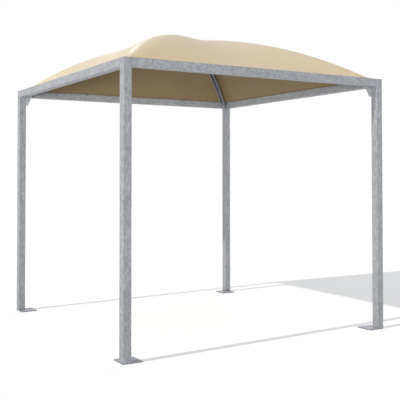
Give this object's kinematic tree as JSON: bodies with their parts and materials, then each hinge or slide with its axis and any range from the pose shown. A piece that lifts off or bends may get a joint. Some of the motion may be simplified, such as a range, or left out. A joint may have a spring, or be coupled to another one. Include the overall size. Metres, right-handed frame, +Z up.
{
  "type": "gazebo",
  "caption": "Square open-sided gazebo with box-section steel posts on base plates, a ring of beams, crossing arch rails and a vaulted fabric canopy.",
  "frame": {"origin": "on the ground at the middle of the plan, under the crown", "axes": "+X along the front beam to the right, +Y from the front to the back, +Z up"},
  "size_m": [3, 3, 3.122],
  "materials": {
    "galvanised_steel": "hot-dip galvanised, matt with a spangle",
    "canopy_fabric": "coated cloth, sand outside and darker inside"
  },
  "bodies": {
    "root": {"front_left_post": "galvanised_steel", "front_left_post_cap": "galvanised_steel", "front_left_base_plate": "galvanised_steel", "front_left_arch_rail": "galvanised_steel", "front_left_arch_bracket": "galvanised_steel", "front_right_post": "galvanised_steel", "front_right_post_cap": "galvanised_steel", "front_right_base_plate": "galvanised_steel", "front_right_arch_rail": "galvanised_steel", "front_right_arch_bracket": "galvanised_steel", "back_left_post": "galvanised_steel", "back_left_post_cap": "galvanised_steel", "back_left_base_plate": "galvanised_steel", "back_left_arch_rail": "galvanised_steel", "back_left_arch_bracket": "galvanised_steel", "back_right_post": "galvanised_steel", "back_right_post_cap": "galvanised_steel", "back_right_base_plate": "galvanised_steel", "back_right_arch_rail": "galvanised_steel", "back_right_arch_bracket": "galvanised_steel", "front_beam": "galvanised_steel", "front_clamp_bar": "galvanised_steel", "back_beam": "galvanised_steel", "back_clamp_bar": "galvanised_steel", "left_beam": "galvanised_steel", "left_clamp_bar": "galvanised_steel", "right_beam": "galvanised_steel", "right_clamp_bar": "galvanised_steel", "crown_hub": "galvanised_steel", "front_canopy_panel": "canopy_fabric", "back_canopy_panel": "canopy_fabric", "left_canopy_panel": "canopy_fabric", "right_canopy_panel": "canopy_fabric"}
  },
  "joints": []
}
